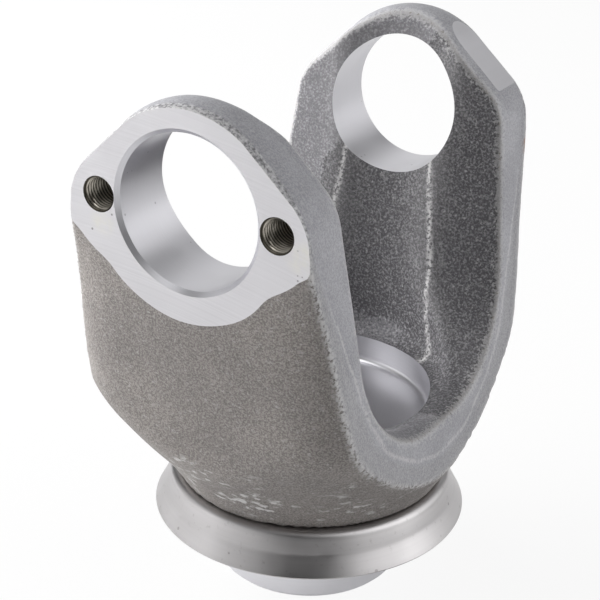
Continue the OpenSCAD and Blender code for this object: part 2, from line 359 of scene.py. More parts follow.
def closed_mesh(name, points, faces, finish):
    """A mesh object in metres with all faces outwards and one finish."""
    made = bpy.data.meshes.new(name)
    made.from_pydata((np.asarray(points) * MM).tolist(), [], faces)
    work = bmesh.new()
    work.from_mesh(made)
    bmesh.ops.remove_doubles(work, verts=work.verts, dist=1e-7)
    bmesh.ops.recalc_face_normals(work, faces=work.faces)
    work.to_mesh(made)
    work.free()
    made.materials.append(blank[finish])
    item = bpy.data.objects.new(name, made)
    bpy.context.scene.collection.objects.link(item)
    return item


def lathe(name, radius, height, finish, count=224, axis="z", centre=(0, 0, 0)):
    """A profile of radius and height arrays carried round an axis. radius may be a grid with one
    column for each of count angles, as for a thread. Its first and last rows lie on the axis."""
    turn = np.arange(count) * 2 * math.pi / count
    r = np.broadcast_to(np.asarray(radius, float).reshape(len(height), -1), (len(height), count))
    h = np.broadcast_to(np.asarray(height, float)[:, None], r.shape)
    a, b = r * np.cos(turn), r * np.sin(turn)
    grid = {"z": (a, b, h), "y": (a, h, b)}[axis]
    points = np.stack(grid, -1) + np.array(centre, float)
    index = np.arange(points[..., 0].size).reshape(r.shape)
    index[0], index[-1] = index[0, 0], index[-1, 0]
    nxt = np.roll(index, -1, 1)
    q = np.stack([index[:-1], nxt[:-1], nxt[1:], index[1:]], -1).reshape(-1, 4).tolist()
    faces = [tuple(dict.fromkeys(f)) for f in q]
    return closed_mesh(name, points.reshape(-1, 3), faces, finish)


def prism(name, outline, low, high, finish, axis="z"):
    """A flat outline carried from low to high along an axis."""
    across, up = np.asarray(outline, float).T
    count = len(across)
    ends = []
    for level in (low, high):
        along = np.full(count, float(level))
        ends.append(np.stack([across, up, along] if axis == "z" else [across, along, up], 1))
    step = np.arange(count)
    after = (step + 1) % count
    sides = np.stack([step, after, after + count, step + count], 1).tolist()
    faces = [tuple(s) for s in sides] + [tuple(step.tolist()), tuple((step + count).tolist())]
    return closed_mesh(name, np.concatenate(ends), faces, finish)


# %% Grinding wheel, face mills and boring bar
cutters = []
lean = np.array([(math.cos(FLAT_TURN), math.sin(FLAT_TURN)), (-math.sin(FLAT_TURN), math.cos(FLAT_TURN))])
block = np.array([(32.3, -21), (60, -33), (60, 24), (32.3, 12)]) @ lean + (0, BORE_Z)
cutters.append(prism("grinding wheel", block, 50, 90, "ground spot", "y"))
wide = [(-70, 90), (70, 90), (70, 200), (-70, 200)]
cutters.append(prism("front face mill", wide, -110, -FACE_Y, "milled face", "y"))
cutters.append(prism("rear face mill", wide, FACE_Y, 110, "milled face", "y"))
bar = np.array([(0, -84), (32.6, -84), (BORE_R, -76), (BORE_R, 76), (32.6, 84), (0, 84)])
cutters.append(lathe("boring bar", bar[:, 0], bar[:, 1], "bored wall", 256, "y", (0, 0, BORE_Z)))

# %% Nut seat, hole and spline broach
SPLINE_GROOVES = 10
# Radius of each corner of a groove, and its degrees off the groove's middle
GROOVE_CORNERS = (17.0, -11.0), (20.65, -8.9), (20.65, 0), (20.65, 8.9), (17.0, 11.0)
SEAT_R, SEAT_CORNER = 42.2, 2.2
corner = np.linspace(-math.pi / 2, 0, 9)
seat_r = np.concatenate([[0, 23.65, 17.55, 17.55, 21.65], 40.0 + SEAT_CORNER * np.cos(corner), [SEAT_R, 0]])
seat_z = np.concatenate([[-2, -2, 4.1, 55.7, 59.8], 62.0 + SEAT_CORNER * np.sin(corner), [74, 74]])
cutters.append(lathe("nut seat and hole", seat_r, seat_z, "turned seat"))
groove = []
for number in range(SPLINE_GROOVES):
    middle = 2 * math.pi * number / SPLINE_GROOVES
    for radius, turned in GROOVE_CORNERS:
        a = middle + math.radians(turned)
        groove.append((radius * math.cos(a), radius * math.sin(a)))
cutters.append(prism("spline broach", groove, -1, 61, "turned seat"))
print("cutters:", [c.name for c in cutters])

# %% Taps: a helical thread between a countersink and a drill point
CORE_R, THREAD, PITCH = 4.95, 0.62, 1.27
SINK_R, SINK_DEPTH, THREAD_END, DRILL_TIP = 5.8, 1.2, 15.2, 18.5


def tap(name, x, side):
    """The path of a drill and tap. The thread's radius rises and falls once per pitch with depth
    and turn together, the countersink is a cone at the mouth, and the drill's point closes it."""
    count = 56
    depth = np.concatenate([[-1.5], np.linspace(-1.5, THREAD_END, 84), [DRILL_TIP]])
    turn = np.arange(count) / count
    wave = np.abs(((depth[:, None] / PITCH + side * turn) % 1) * 2 - 1)
    thread = CORE_R + THREAD * np.clip(wave * 1.25 - 0.1, 0, 1)
    mouth = SINK_R - depth[:, None]
    radius = np.maximum(thread, np.where(depth[:, None] < SINK_DEPTH, mouth, 0))
    radius[0] = radius[-1] = 0
    return lathe(name, radius, side * (FACE_Y - depth), "tapped hole", count, "y", (x, 0, BORE_Z))


for side in (-1, 1):
    for x in (-SCREW_X, SCREW_X):
        cutters.append(tap("tap %d %d" % (side, x), x, side))

# %% The turned end of the hub, then all cuts
hub_r = [0, 31.6, 33.1, 33.1, 33.6, 38.2, 39.0, 39.0, 0]
hub_z = [0, 0, 1.5, 19.9, 20.4, 20.4, 21.2, 46.0, 46.0]
hub_end = lathe("hub end", hub_r, hub_z, "turned seat")
mesh.materials.append(blank["forged skin"])


def carve(target, tools, operation):
    """One Boolean modifier per tool, applied in order."""
    bpy.context.view_layer.objects.active = target
    for tool in tools:
        step = target.modifiers.new(tool.name, "BOOLEAN")
        step.operation, step.solver, step.object = operation, "EXACT", tool
        step.material_mode = "TRANSFER"
        bpy.ops.object.modifier_apply(modifier=step.name)
        bpy.data.objects.remove(tool)


carve(yoke, [hub_end], "UNION")
carve(yoke, cutters, "DIFFERENCE")
mesh = yoke.data
print("machined forging:", len(mesh.polygons), "faces,", [m.name for m in mesh.materials])

# %% [markdown]
# ## Zones and normals
# The forging doesn't look the same all over. Its outer faces are brownish and the trimmed sides are
# blue-grey. In the throat one half of each ear is painted dark, as painted shade for the side turned
# away from the left lamps, and the other half lighter, with a rubbed patch on the channel's floor;
# every edge is rubbed lighter. Which face a point lies on is known from the fields, so each
# point stores it as attributes that the material reads. The fields also give the skin its exact
# normals, so that the thin faces beside a cut don't show as creases.

# %% Reading a mesh and sharing a point between fields
def column(items, name, width=1, kind=float):
    """One property of all items of a mesh as an array, with width values to a row."""
    values = np.zeros(len(items) * width, kind)
    items.foreach_get(name, values)
    return values.reshape(-1, width) if width > 1 else values


def shares(values, softness):
    """Each field's share of a point: powers of e of the fields over softness, scaled to sum to 1."""
    power = np.exp((values - values.max(0)) / softness)
    return power / power.sum(0)


# %% Which half of each throat wall gets painted shade, and where the inner flash line runs
x, y, z = (column(mesh.vertices, "co", 3) / MM).T
fields = np.stack([outer_face(x, y, z), ear_rim(x, y, z), throat(x, y, z)])
zone = shares(fields, 0.7)
ridge = shares(np.stack([-trough(x, y, z), -channel(x, y, z)]), 2.4)
# Painted shade in the throat: where x times the sign of y lies beyond this edge, on the side of each ear
# turned away from the left lamps, the skin is painted dark; the other side counts as lit
shade_edge_x = 0.75 * np.clip(z - BORE_Z + 25, 0, 60) - 25
lit_side_and_rubbed_floor = np.clip((shade_edge_x - x * np.sign(y)) / 3, 0, 1)
channel_foot = 0.7 * rise(-z, -80, 5) * rise(y, 0, 8) * rise(-x, -22, 14)
# Heights, and how far behind the outer face the line runs there
FLASH_LINE = [45, 55, 80, 110, 130, 150], [7.5, 7.6, 10, 7, 5, 3.5]
line_depth = np.interp(z, *FLASH_LINE)
print("mean depth of the flash line:", round(float(line_depth.mean()), 2))

# %% Attributes from the fields
outer_gap, rim_gap, wall_gap = fields
attributes = {
    "side": zone[1],
    "throat": zone[2],
    "ridge": 4 * ridge[0] * ridge[1] * zone[2] * rise(z, 74, 16),
    "arris": np.exp(-(((wall_gap - rim_gap) / 2.2) ** 2)) * (outer_gap < -3),
    # lighter throat skin: the lit half of each ear, as painted light, and the rubbed floor of the channel
    "lit_side_and_rubbed_floor": np.maximum(lit_side_and_rubbed_floor, channel_foot),
    "brim": np.exp(-((outer_gap - rim_gap) ** 2)),
    "depth": np.clip(-outer_gap / line_depth / 2, 0, 1),
    # painted shade: the tapped threads grow darker towards their roots
    "root": np.clip((np.hypot(np.abs(x) - SCREW_X, z - BORE_Z) - CORE_R) / THREAD, 0, 1),
}
for name, values in attributes.items():
    layer = mesh.attributes.new(name, "FLOAT", "POINT")
    layer.data.foreach_set("value", np.clip(values, 0, 1).astype(np.float32))
    print(name, "mean", round(float(values.mean()), 3))

# %% Sharp edges where two finishes meet
mesh.shade_smooth()
finish_of_face = column(mesh.polygons, "material_index", kind=int)
face_of_loop = np.repeat(np.arange(len(mesh.polygons)), column(mesh.polygons, "loop_total", kind=int))
finish_of_loop = finish_of_face[face_of_loop]
edge_of_loop = column(mesh.loops, "edge_index", kind=int)
highest = np.full(len(mesh.edges), -1)
lowest = np.full(len(mesh.edges), len(FINISHES))
np.maximum.at(highest, edge_of_loop, finish_of_loop)
np.minimum.at(lowest, edge_of_loop, finish_of_loop)
mesh.set_sharp_from_angle(angle=math.radians(25))
sharp = column(mesh.edges, "use_edge_sharp", kind=bool)
mesh.edges.foreach_set("use_edge_sharp", sharp | (highest != lowest))
mesh.update()
print("sharp edges:", int((sharp | (highest != lowest)).sum()))

# %% Normals: from the fields on the skin, from each face where it is cut flat
def slope(x, y, z, step=0.02):
    """Unit normals of the skin: differences of the forging field over a small step each way."""
    grad = np.stack([
        forging(x + step, y, z) - forging(x - step, y, z),
        forging(x, y + step, z) - forging(x, y - step, z),
        forging(x, y, z + step) - forging(x, y, z - step),
    ], 1)
    return grad / np.linalg.norm(grad, axis=1, keepdims=True)


normals = column(mesh.corner_normals, "vector", 3)
of_face = column(mesh.polygons, "normal", 3)
flat = np.isin(finish_of_face, (FINISHES.index("milled face"), FINISHES.index("ground spot")))
flat |= (finish_of_face == FINISHES.index("turned seat")) & (np.abs(of_face[:, 2]) > 0.999)
normals = np.where(flat[face_of_loop][:, None], of_face[face_of_loop], normals)
on_skin = finish_of_loop == FINISHES.index("forged skin")
normals[on_skin] = slope(x, y, z)[column(mesh.loops, "vertex_index", kind=int)[on_skin]]
mesh.normals_split_custom_set(normals.tolist())
print("loops on the forged skin:", int(on_skin.sum()), "of", len(normals))

# %% [markdown]
# ## The dust deflector
# A ring pressed from thin sheet: a collar grips the hub, a flat flange lies under the forging, and
# a skirt flares down and out with one soft bend. It is turned here as one profile, with its
# bends rounded as a press leaves them.

# %% Deflector profile
def bent(points, radii, steps=7):
    """A line of points with each inner corner replaced by an arc of its radius, from the two
    touching points that lie radius over tan of half the corner's angle away from it."""
    points = np.asarray(points, float)
    out = [points[0]]
    for before, at, after, radius in zip(points, points[1:], points[2:], radii):
        u, v = (before - at) / np.linalg.norm(before - at), (after - at) / np.linalg.norm(after - at)
        half = math.acos(float(np.clip(u @ v, -1, 1))) / 2
        start, end = at + u * radius / math.tan(half), at + v * radius / math.tan(half)
        share = np.linspace(0, 1, steps)[:, None]
        middle = at + (u + v) / np.linalg.norm(u + v) * radius / math.sin(half)
        arm = (start - middle) * (1 - share) + (end - middle) * share
        out += list(middle + arm * radius / np.linalg.norm(arm, axis=1, keepdims=True))
    return np.array(out + [points[-1]])


outer = bent([(39.0, 27.4), (39.0, 38.3), (50.1, 38.3), (52.7, 30.6), (56.2, 24.1)], [0.6, 3.2, 9.0])
inner = bent([(54.6, 24.1), (51.0, 30.2), (48.7, 36.5), (40.8, 36.5), (40.8, 27.4)], [8.0, 1.5, 1.6])
rim = bent([outer[-1], (55.9, 23.5), (54.9, 23.5), inner[0]], [0.3, 0.3], 3)[1:-1]
profile = np.concatenate([outer, rim, inner])
RING_STEPS = 256
angle = np.arange(RING_STEPS) * 2 * math.pi / RING_STEPS
px = profile[:, 0][:, None] * np.cos(angle)
py = profile[:, 0][:, None] * np.sin(angle)
pz = np.broadcast_to(profile[:, 1][:, None], px.shape)
index = np.arange(px.size).reshape(px.shape)
down, across = np.roll(index, -1, 0), np.roll(index, -1, 1)
q = np.stack([index, across, np.roll(down, -1, 1), down], -1).reshape(-1, 4)
blank["pressed sheet"] = bpy.data.materials.new("pressed sheet")
ring_points = np.stack([px, py, pz], -1).reshape(-1, 3)
deflector = closed_mesh("deflector", ring_points, q.tolist(), "pressed sheet")
deflector.data.shade_smooth()
deflector.data.set_sharp_from_angle(angle=math.radians(40))
print("deflector:", len(deflector.data.polygons), "faces")

# %% [markdown]
# ## Finishes
# Bare steel has no colour of its own beyond grey. What tells forged skin from a milled face is how
# fine its grain is and which way it runs. Each finish is a Principled shader with patterns on
# Object coordinates, which are metres here, so a scale of 1000 makes millimetre grains. Three
# patterns come back in most finishes, so each of them is a node group: sand grain, tool lines and
# scattered dots.

# %% Node helpers
def node(tree, kind, **values):
    """A new node with inputs set by name and other settings as attributes."""
    made = tree.nodes.new(kind)
    for key, value in values.items():
        if key in made.inputs:
            made.inputs[key].default_value = value
        else:
            setattr(made, key, value)
    return made


def ramp(tree, source, low, high, low_value=0.0, high_value=1.0):
    """A Map Range node from low..high to low_value..high_value, smooth at both ends."""
    made = node(tree, "ShaderNodeMapRange", interpolation_type="SMOOTHSTEP")
    made.inputs["From Min"].default_value, made.inputs["From Max"].default_value = low, high
    made.inputs["To Min"].default_value, made.inputs["To Max"].default_value = low_value, high_value
    tree.links.new(source, made.inputs["Value"])
    return made.outputs["Result"]


def mix(tree, share, a, b):
    """Mix of two colours by a share; each is a socket or a colour."""
    made = node(tree, "ShaderNodeMix", data_type="RGBA")
    tree.links.new(share, made.inputs["Factor"])
    for value, socket in ((a, made.inputs[6]), (b, made.inputs[7])):
        if isinstance(value, tuple):
            socket.default_value = value
        else:
            tree.links.new(value, socket)
    return made.outputs[2]


def maths(tree, operation, a, b=0.0, clamp=False):
    """One Math node; each input is a socket or a number."""
    made = node(tree, "ShaderNodeMath", operation=operation, use_clamp=clamp)
    for value, socket in ((a, made.inputs[0]), (b, made.inputs[1])):
        if isinstance(value, (int, float)):
            socket.default_value = value
        else:
            tree.links.new(value, socket)
    return made.outputs[0]


def chain(tree, operation, *parts):
    """All parts joined by one operation, such as their product or the largest of them."""
    made = parts[0]
    for part in parts[1:]:
        made = maths(tree, operation, made, part)
    return made


def centred(tree, value, size):
    """A value between 0 and 1 moved to lie about zero, times size."""
    return maths(tree, "MULTIPLY", maths(tree, "SUBTRACT", value, 0.5), size)


def new_group(name, inputs):
    """A shader group with named inputs and one output called Value, and its two end nodes."""
    made = bpy.data.node_groups.new(name, "ShaderNodeTree")
    for label, value in inputs.items():
        kind = "NodeSocketVector" if isinstance(value, tuple) else "NodeSocketFloat"
        made.interface.new_socket(label, in_out="INPUT", socket_type=kind).default_value = value
    made.interface.new_socket("Value", in_out="OUTPUT", socket_type="NodeSocketFloat")
    enter = made.nodes.new("NodeGroupInput").outputs
    return made, enter, made.nodes.new("NodeGroupOutput").inputs["Value"]


def use(tree, group, where, **values):
    """A group placed in a material on the coordinates where, with its own values."""
    made = node(tree, "ShaderNodeGroup", node_tree=group)
    for label, value in values.items():
        made.inputs[label].default_value = value
    tree.links.new(where, made.inputs["Vector"])
    return made.outputs["Value"]


def vector_maths(tree, operation, a, b):
    """One Vector Math node with two linked or fixed vectors."""
    made = node(tree, "ShaderNodeVectorMath", operation=operation)
    for value, socket in ((a, made.inputs[0]), (b, made.inputs[1])):
        if isinstance(value, tuple):
            socket.default_value = value
        else:
            tree.links.new(value, socket)
    return made.outputs["Value" if operation in ("LENGTH", "DOT_PRODUCT", "DISTANCE") else "Vector"]


# %% Shared pattern: sand grain
GRAIN_INPUTS = {
    "Vector": (0, 0, 0), "Fine": 1500.0, "Detail": 2.0, "Stretch": (1, 1, 1), "Low": 0.35, "High": 0.65,
}
grain, enter, leave = new_group("Sand grain", GRAIN_INPUTS)
stretched = vector_maths(grain, "MULTIPLY", enter["Vector"], enter["Stretch"])
speck = node(grain, "ShaderNodeTexNoise", Roughness=0.6)
grain.links.new(stretched, speck.inputs["Vector"])
grain.links.new(enter["Fine"], speck.inputs["Scale"])
grain.links.new(enter["Detail"], speck.inputs["Detail"])
window = node(grain, "ShaderNodeMapRange", interpolation_type="SMOOTHSTEP")
grain.links.new(speck.outputs["Fac"], window.inputs["Value"])
grain.links.new(enter["Low"], window.inputs["From Min"])
grain.links.new(enter["High"], window.inputs["From Max"])
grain.links.new(window.outputs["Result"], leave)
print("nodes in the sand grain:", len(grain.nodes))

# %% Shared pattern: tool lines, straight along one direction or round a centre
LINE_INPUTS = {
    "Vector": (0, 0, 0), "Along": (0, 0, 0), "Centre": (0, 0, 0), "About": (0, 0, 0), "Fine": 1500.0,
}
lines, enter, leave = new_group("Tool lines", LINE_INPUTS)
level = vector_maths(lines, "DOT_PRODUCT", enter["Vector"], enter["Along"])
offset = vector_maths(lines, "SUBTRACT", enter["Vector"], enter["Centre"])
across = vector_maths(lines, "MULTIPLY", offset, enter["About"])
feed = maths(lines, "ADD", level, vector_maths(lines, "LENGTH", across, (0, 0, 0)))
streak = node(lines, "ShaderNodeTexNoise", noise_dimensions="1D", Detail=3.0, Roughness=0.7)
lines.links.new(feed, streak.inputs["W"])
lines.links.new(enter["Fine"], streak.inputs["Scale"])
patch = node(lines, "ShaderNodeTexNoise", Scale=70.0, Detail=2.0)
lines.links.new(enter["Vector"], patch.inputs["Vector"])
shown = ramp(lines, patch.outputs["Fac"], 0.3, 0.7, 0.35, 1.0)
lines.links.new(maths(lines, "ADD", centred(lines, streak.outputs["Fac"], shown), 0.5), leave)
print("nodes in the tool lines:", len(lines.nodes))

# %% Shared pattern: dots in a share of the cells, which the red of each cell's random colour picks
DOT_INPUTS = {"Vector": (0, 0, 0), "Fine": 500.0, "Share": 0.1, "Size": 0.25}
dots, enter, leave = new_group("Scattered dots", DOT_INPUTS)
cells = node(dots, "ShaderNodeTexVoronoi")
dots.links.new(enter["Vector"], cells.inputs["Vector"])
dots.links.new(enter["Fine"], cells.inputs["Scale"])
red = vector_maths(dots, "DOT_PRODUCT", cells.outputs["Color"], (1, 0, 0))
chosen = maths(dots, "LESS_THAN", red, enter["Share"])
inside = maths(dots, "LESS_THAN", cells.outputs["Distance"], enter["Size"])
dots.links.new(maths(dots, "MULTIPLY", chosen, inside), leave)
print("groups:", [g.name for g in bpy.data.node_groups])


# %% Starting a finish
def start_finish(name, metallic, roughness):
    """Gives a blank material its Principled shader and Object coordinates."""
    material = blank[name]
    material.use_nodes = True
    tree = material.node_tree
    shader = tree.nodes["Principled BSDF"]
    shader.inputs["Metallic"].default_value = metallic
    shader.inputs["Roughness"].default_value = roughness
    where = node(tree, "ShaderNodeTexCoord").outputs["Object"]
    return tree, shader, where


def bumped(tree, shader, height, strength, distance):
    """A Bump node from height into the shader's Normal."""
    bump = node(tree, "ShaderNodeBump", Strength=strength, Distance=distance)
    tree.links.new(height, bump.inputs["Height"])
    tree.links.new(bump.outputs["Normal"], shader.inputs["Normal"])


def paint(tree, shader, share, under, over):
    """The shader's colour: over laid on under by a share."""
    tree.links.new(mix(tree, share, under, over), shader.inputs["Base Color"])


def read(tree, name):
    """The value of one of the mesh's own attributes."""
    return node(tree, "ShaderNodeAttribute", attribute_name=name).outputs["Fac"]


def near_spot(tree, where, centre, inner, outer):
    """One inside a ball about a point, in metres, falling to zero between two radii."""
    return ramp(tree, vector_maths(tree, "DISTANCE", where, centre), inner, outer, 1.0, 0.0)


def between(tree, value, low, high, soft):
    """One where value lies from low to high, falling to zero over soft on both sides."""
    above_low = ramp(tree, value, low - soft, low)
    below_high = ramp(tree, value, high, high + soft, 1.0, 0.0)
    return maths(tree, "MULTIPLY", above_low, below_high)


# %% [markdown]
# ### Forged skin
# Shot blasting leaves a skin of tiny dents. On the outer faces it is brownish and even, on the
# trimmed sides smoother and blue-grey, and in the throat coarser, painted dark as painted shade on
# the half of each ear turned away from the left lamps. Where two zones meet, the edge is rubbed pale
# and its border breaks up into grains.
# Along the outer edge of each side run the two thin ragged lines that the trimmed flash has left.

# %% Forged skin: grains and zones
tree, shader, where = start_finish("forged skin", 0.25, 0.6)
fine = use(tree, grain, where, Fine=1700.0, Detail=2.0, Low=0.36, High=0.64)
coarse = use(tree, grain, where, Fine=1300.0, Detail=2.5, Low=0.42, High=0.70)
ragged = use(tree, grain, where, Fine=900.0, Detail=4.0, Low=0.3, High=0.7)
cloud = use(tree, grain, where, Fine=36.0, Detail=4.0, Low=0.3, High=0.7)
outer_skin = mix(tree, fine, (0.152, 0.139, 0.131, 1), (0.300, 0.277, 0.261, 1))
side_skin = mix(tree, fine, (0.330, 0.330, 0.352, 1), (0.440, 0.438, 0.467, 1))
# The darker throat colour is painted shade for the half of each ear away from the left lamps; the lighter
# one is the lit half and the rubbed channel floor
painted_shade_skin = mix(tree, coarse, (0.057, 0.055, 0.059, 1), (0.200, 0.197, 0.207, 1))
lit_and_rubbed_skin = mix(tree, coarse, (0.155, 0.152, 0.162, 1), (0.290, 0.286, 0.300, 1))


def broken(name, swing=0.7):
    """A zone's share with its border broken up by the ragged grain."""
    shifted = maths(tree, "ADD", read(tree, name), centred(tree, ragged, swing))
    return ramp(tree, shifted, 0.25, 0.75)


GRIME = (0.12, 0.118, 0.125, 1)
colour = mix(tree, broken("side", 0.5), outer_skin, side_skin)
# Throat: painted shade on one half of each ear, lighter on the lit half and the rubbed floor
throat_skin = mix(tree, broken("lit_side_and_rubbed_floor", 0.7), painted_shade_skin, lit_and_rubbed_skin)
colour = mix(tree, broken("throat", 0.7), colour, throat_skin)
shade = ramp(tree, cloud, 0, 1, 0.0, 0.16)
colour = mix(tree, shade, colour, GRIME)
print("nodes in the skin's grains and zones:", len(tree.nodes))

# %% Forged skin: the flash strip and its two lines
wander = use(tree, grain, where, Fine=70.0, Detail=6.0, Low=0.2, High=0.8)
depth = maths(tree, "ADD", read(tree, "depth"), centred(tree, wander, 0.10))
level = vector_maths(tree, "DOT_PRODUCT", where, (0, 0, 1))
strip_skin = mix(tree, fine, (0.290, 0.287, 0.300, 1), (0.400, 0.397, 0.412, 1))
crown_skin = mix(tree, ragged, (0.110, 0.108, 0.112, 1), (0.640, 0.637, 0.650, 1))
strip_skin = mix(tree, ramp(tree, level, 0.150, 0.158), strip_skin, crown_skin)
in_strip = maths(tree, "MULTIPLY", ramp(tree, depth, 0.34, 0.46, 0.85, 0.0), broken("side", 0.5))
colour = mix(tree, in_strip, colour, strip_skin)
low_side = maths(tree, "MULTIPLY", read(tree, "side"), ramp(tree, level, 0.125, 0.150, 0.6, 0.0))
flash = between(tree, depth, 0.49, 0.51, 0.05)
flash = chain(tree, "MULTIPLY", flash, ramp(tree, ragged, 0.1, 0.6), low_side)
brim = chain(tree, "MULTIPLY", read(tree, "brim"), ramp(tree, ragged, 0.1, 0.7), 0.95)
print("nodes with the flash strip:", len(tree.nodes))

# %% Forged skin: rubbed edges, scuffs and rust
WORN, RUST = (0.60, 0.592, 0.59, 1), (0.24, 0.10, 0.045, 1)
arris = maths(tree, "MULTIPLY", broken("arris", 1.1), 0.42)
ridge_rub = maths(tree, "MULTIPLY", broken("ridge", 1.1), 0.08)
lines_worn = maths(tree, "MAXIMUM", brim, flash)
worn = maths(tree, "MAXIMUM", maths(tree, "MAXIMUM", arris, ridge_rub), lines_worn, clamp=True)
low_band = between(tree, level, 0.045, 0.066, 0.006)
scuff = use(tree, grain, where, Fine=300.0, Detail=12.0, Stretch=(0.7, 0.7, 1.5), Low=0.52, High=0.64)
patch = use(tree, grain, where, Fine=60.0, Detail=3.0, Low=0.44, High=0.58)
off_side = ramp(tree, read(tree, "side"), 0.2, 0.6, 0.9, 0.0)
scuff = chain(tree, "MULTIPLY", scuff, patch, maths(tree, "MULTIPLY", low_band, off_side))
colour = mix(tree, maths(tree, "MAXIMUM", worn, scuff), colour, WORN)
rust = near_spot(tree, where, (0.0425, 0.0765, 0.145), 0.0015, 0.0048)
paint(tree, shader, maths(tree, "MULTIPLY", rust, ragged), colour, RUST)
tree.links.new(ramp(tree, cloud, 0, 1, 0.54, 0.66), shader.inputs["Roughness"])
relief = maths(tree, "ADD", maths(tree, "MULTIPLY", fine, 0.4), maths(tree, "MULTIPLY", coarse, 0.6))
bumped(tree, shader, relief, 0.45, 0.00018)
print("nodes in the forged skin:", len(tree.nodes))

# %% [markdown]
# ### Cut steel
# A face mill of large diameter leaves faint arcs, a boring bar leaves rings along the bore, and a
# lathe leaves rings about the hub. All are bright steel, and what changes most is the way that the
# lines run. The milled face has a few oil stains and pits, and the threads are darkened towards their
# roots with painted shade.

# %% Steel with tool lines
def cut_steel(name, colour, roughness, depth, metallic=1.0, shade=0.93, **tool):
    """Bright steel with tool lines that shade its colour, roughness and relief a little."""
    tree, shader, where = start_finish(name, metallic, roughness)
    marks = use(tree, lines, where, **tool)
    smudge = use(tree, grain, where, Fine=55.0, Detail=4.0, Low=0.3, High=0.7)
    dark = tuple(c * shade for c in colour[:3]) + (1,)
    painted = mix(tree, ramp(tree, marks, 0.3, 0.7), dark, colour)
    rough = maths(tree, "ADD", ramp(tree, smudge, 0, 1, roughness - 0.03, roughness + 0.03),
                  maths(tree, "MULTIPLY", marks, 0.04))
    tree.links.new(rough, shader.inputs["Roughness"])
    tree.links.new(painted, shader.inputs["Base Color"])
    bumped(tree, shader, marks, depth, 0.00004)
    return tree, shader, where, painted


# %% Milled face, with oil stains and pits
OIL, PIT = (0.70, 0.68, 0.56, 1), (0.16, 0.15, 0.15, 1)
MILL_CENTRE = (-0.06, 0, -0.25)
tree, shader, where, painted = cut_steel(
    "milled face", (0.651, 0.642, 0.664, 1), 0.40, 0.25, Centre=MILL_CENTRE, About=(1, 0, 1), Fine=1300.0)
stain = maths(tree, "MAXIMUM", near_spot(tree, where, (-0.0304, -0.0774, 0.1492), 0.001, 0.006),
              near_spot(tree, where, (0.0400, -0.0774, 0.1530), 0.001, 0.007))
smear = use(tree, grain, where, Fine=160.0, Detail=4.0, Low=0.3, High=0.7)
painted = mix(tree, chain(tree, "MULTIPLY", stain, smear, 0.6), painted, OIL)
near_edge = near_spot(tree, where, (0.0430, -0.0774, 0.1480), 0.002, 0.014)
pits = maths(tree, "MULTIPLY", use(tree, dots, where, Fine=700.0, Share=0.22, Size=0.24), near_edge)
stray = use(tree, dots, where, Fine=260.0, Share=0.03, Size=0.1)
pits = maths(tree, "MAXIMUM", pits, stray)
paint(tree, shader, maths(tree, "MULTIPLY", pits, 0.7), painted, PIT)
print("nodes in the milled face:", len(tree.nodes))

# %% Bored, turned, tapped and ground steel
tree, shader, where, painted = cut_steel(
    "bored wall", (0.64, 0.635, 0.665, 1), 0.34, 0.006, shade=0.97, Along=(0, 1, 0), Fine=1800.0)
stray = use(tree, dots, where, Fine=420.0, Share=0.035, Size=0.16)
paint(tree, shader, maths(tree, "MULTIPLY", stray, 0.5), painted, (0.2, 0.19, 0.21, 1))
cut_steel("turned seat", (0.78, 0.775, 0.805, 1), 0.30, 0.006, shade=0.97,
          Along=(0, 0, 1), About=(1, 1, 0), Fine=1600.0)
tree, shader, where, painted = cut_steel(
    "tapped hole", (0.60, 0.56, 0.49, 1), 0.33, 0.05, Along=(0, 1, 0), Fine=1200.0)
# Painted shade in the thread roots: darker towards the root of each thread
paint(tree, shader, ramp(tree, read(tree, "root"), 0.15, 0.8), painted, (0.07, 0.063, 0.05, 1))
cut_steel("ground spot", (0.60, 0.595, 0.62, 1), 0.42, 0.1, metallic=0.8, Along=(0.7, 0, 0.7), Fine=1500.0)
print("finishes so far:", [name for name, material in blank.items() if material.use_nodes])

# %% [markdown]
# ### Pressed sheet
# The deflector's sheet was drawn over a die, which leaves soft bands around it, and it has lain about:
# small dull specks and smudges take some of its shine.

# %% Pressed sheet
tree, shader, where, painted = cut_steel(
    "pressed sheet", (0.534, 0.520, 0.524, 1), 0.33, 0.10, shade=0.92,
    Along=(0, 0, 1), About=(1, 1, 0), Fine=520.0)
dull = use(tree, grain, where, Fine=420.0, Detail=5.0, Low=0.60, High=0.74)
specks = use(tree, dots, where, Fine=330.0, Share=0.05, Size=0.2)
dirt = maths(tree, "MAXIMUM", maths(tree, "MULTIPLY", dull, 0.35), maths(tree, "MULTIPLY", specks, 0.6))
paint(tree, shader, dirt, painted, (0.24, 0.22, 0.22, 1))
print("finishes:", list(blank))

# %% [markdown]
# ## Fastening to the frame
# The new forging stands for the CAD yoke and the ring for the CAD deflector. Both ride on the
# part's one body.

# %% Ride and replace
for piece, cad_name, slot_name in ((yoke, "yoke", "forging"), (deflector, "dust_deflector", "deflector")):
    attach(piece, "root")
    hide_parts(cad_name)
    print(piece.name, "stands for", cad_name)

# %% [markdown]
# ## Studio
# The part stands on a pale floor. Two broad soft lamps light it from the left and a weaker one from
# the right. Bright steel shows whatever is around it, so the room holds soft glows that only
# reflections see: round the part and above it, but none behind the photographer. That is what
# gives every round bright part its dark band down the middle. The camera was fitted to the circles
# in the photograph: a long lens from the right front, a little above.

